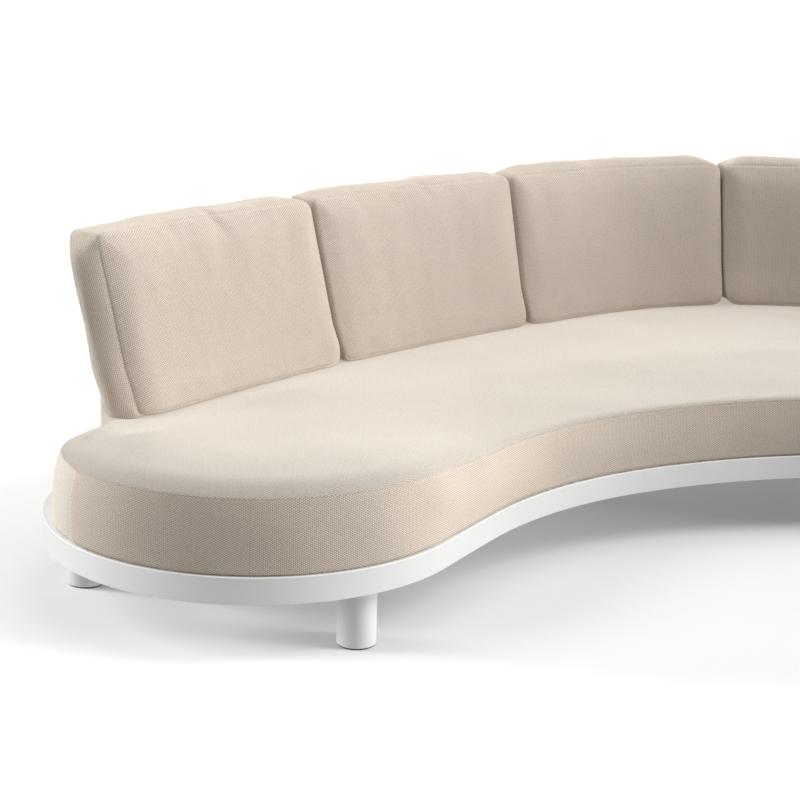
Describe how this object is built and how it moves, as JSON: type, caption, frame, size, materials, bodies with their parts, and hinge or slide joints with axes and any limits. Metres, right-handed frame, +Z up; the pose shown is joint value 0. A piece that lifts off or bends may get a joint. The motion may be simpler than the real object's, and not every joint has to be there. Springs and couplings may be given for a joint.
{
  "type": "outdoor sofa",
  "caption": "Low crescent-shaped outdoor sofa: a kidney-shaped metal platform on round legs with a curved back panel, a continuous seat cushion and loose leaning back cushions.",
  "frame": {"origin": "on the floor, at the middle of the platform's footprint box", "axes": "+X along the sofa's width, towards the viewer's right when it is seen from the open front; +Y from the open front of the crescent to its back; +Z up"},
  "size_m": [4.1462, 2.1495, 0.848],
  "materials": {
    "frame_metal": "white powder coat, satin",
    "fastener_steel": "brushed stainless",
    "plug_plastic": "moulded, matte",
    "foot_plastic": "moulded, matte",
    "seat_fabric": "sand outdoor basket weave over foam",
    "back_fabric": "sand outdoor basket weave over foam"
  },
  "bodies": {
    "frame": {"back_panel_left": "frame_metal", "back_panel_right": "frame_metal", "centre_rib_left": "frame_metal", "centre_rib_right": "frame_metal", "deck_centre": "frame_metal", "deck_left": "frame_metal", "deck_right": "frame_metal", "joint_rib_left": "frame_metal", "joint_rib_right": "frame_metal", "joint_strip_left": "frame_metal", "joint_strip_right": "frame_metal", "leg_bolts": "fastener_steel", "leg_centre_front": "frame_metal", "leg_centre_rear": "frame_metal", "leg_doubler_centre_front": "frame_metal", "leg_doubler_centre_rear": "frame_metal", "leg_doubler_end_left": "frame_metal", "leg_doubler_end_right": "frame_metal", "leg_doubler_front_left": "frame_metal", "leg_doubler_front_right": "frame_metal", "leg_doubler_rear_left": "frame_metal", "leg_doubler_rear_right": "frame_metal", "leg_end_left": "frame_metal", "leg_end_right": "frame_metal", "leg_front_left": "frame_metal", "leg_front_right": "frame_metal", "leg_plug_centre_front": "plug_plastic", "leg_plug_centre_rear": "plug_plastic", "leg_plug_end_left": "plug_plastic", "leg_plug_end_right": "plug_plastic", "leg_plug_front_left": "plug_plastic", "leg_plug_front_right": "plug_plastic", "leg_plug_rear_left": "plug_plastic", "leg_plug_rear_right": "plug_plastic", "leg_rear_left": "frame_metal", "leg_rear_right": "frame_metal", "lobe_rib_left": "frame_metal", "lobe_rib_right": "frame_metal", "panel_angle_left": "frame_metal", "panel_angle_right": "frame_metal", "panel_bolts": "fastener_steel", "panel_nuts": "fastener_steel", "skirt_left": "frame_metal", "skirt_right": "frame_metal"},
    "seat_cushion": {"seat_cushion": "seat_fabric"},
    "back_cushion_outer_left": {"back_cushion_outer_left": "back_fabric"},
    "back_cushion_middle_left": {"back_cushion_middle_left": "back_fabric"},
    "back_cushion_inner_left": {"back_cushion_inner_left": "back_fabric"},
    "back_cushion_outer_right": {"back_cushion_outer_right": "back_fabric"},
    "back_cushion_middle_right": {"back_cushion_middle_right": "back_fabric"},
    "back_cushion_inner_right": {"back_cushion_inner_right": "back_fabric"},
    "levelling_foot_front_left": {"levelling_foot_front_left": "foot_plastic"},
    "levelling_foot_front_right": {"levelling_foot_front_right": "foot_plastic"},
    "levelling_foot_end_left": {"levelling_foot_end_left": "foot_plastic"},
    "levelling_foot_end_right": {"levelling_foot_end_right": "foot_plastic"},
    "levelling_foot_rear_left": {"levelling_foot_rear_left": "foot_plastic"},
    "levelling_foot_rear_right": {"levelling_foot_rear_right": "foot_plastic"},
    "levelling_foot_centre_front": {"levelling_foot_centre_front": "foot_plastic"},
    "levelling_foot_centre_rear": {"levelling_foot_centre_rear": "foot_plastic"}
  },
  "joints": [
    {"name": "seat_cushion_lift", "type": "slide", "parent": "frame", "child": "seat_cushion", "axis": [0, 0, 1], "range_m": [0, 0.4]},
    {"name": "back_cushion_outer_left_lift", "type": "slide", "parent": "seat_cushion", "child": "back_cushion_outer_left", "axis": [-0.0524, -0.0479, 0.9975], "range_m": [0, 0.5]},
    {"name": "back_cushion_middle_left_lift", "type": "slide", "parent": "seat_cushion", "child": "back_cushion_middle_left", "axis": [0, 0, 1], "range_m": [0, 0.5]},
    {"name": "back_cushion_inner_left_lift", "type": "slide", "parent": "seat_cushion", "child": "back_cushion_inner_left", "axis": [0, 0, 1], "range_m": [0, 0.5]},
    {"name": "back_cushion_outer_right_lift", "type": "slide", "parent": "seat_cushion", "child": "back_cushion_outer_right", "axis": [0.053, -0.0472, 0.9975], "range_m": [0, 0.5]},
    {"name": "back_cushion_middle_right_lift", "type": "slide", "parent": "seat_cushion", "child": "back_cushion_middle_right", "axis": [0, 0, 1], "range_m": [0, 0.5]},
    {"name": "back_cushion_inner_right_lift", "type": "slide", "parent": "seat_cushion", "child": "back_cushion_inner_right", "axis": [0, 0, 1], "range_m": [0, 0.5]},
    {"name": "levelling_foot_front_left_screw", "type": "slide", "parent": "frame", "child": "levelling_foot_front_left", "axis": [0, 0, -1], "range_m": [0, 0.012]},
    {"name": "levelling_foot_front_right_screw", "type": "slide", "parent": "frame", "child": "levelling_foot_front_right", "axis": [0, 0, -1], "range_m": [0, 0.012]},
    {"name": "levelling_foot_end_left_screw", "type": "slide", "parent": "frame", "child": "levelling_foot_end_left", "axis": [0, 0, -1], "range_m": [0, 0.012]},
    {"name": "levelling_foot_end_right_screw", "type": "slide", "parent": "frame", "child": "levelling_foot_end_right", "axis": [0, 0, -1], "range_m": [0, 0.012]},
    {"name": "levelling_foot_rear_left_screw", "type": "slide", "parent": "frame", "child": "levelling_foot_rear_left", "axis": [0, 0, -1], "range_m": [0, 0.012]},
    {"name": "levelling_foot_rear_right_screw", "type": "slide", "parent": "frame", "child": "levelling_foot_rear_right", "axis": [0, 0, -1], "range_m": [0, 0.012]},
    {"name": "levelling_foot_centre_front_screw", "type": "slide", "parent": "frame", "child": "levelling_foot_centre_front", "axis": [0, 0, -1], "range_m": [0, 0.012]},
    {"name": "levelling_foot_centre_rear_screw", "type": "slide", "parent": "frame", "child": "levelling_foot_centre_rear", "axis": [0, 0, -1], "range_m": [0, 0.012]}
  ]
}
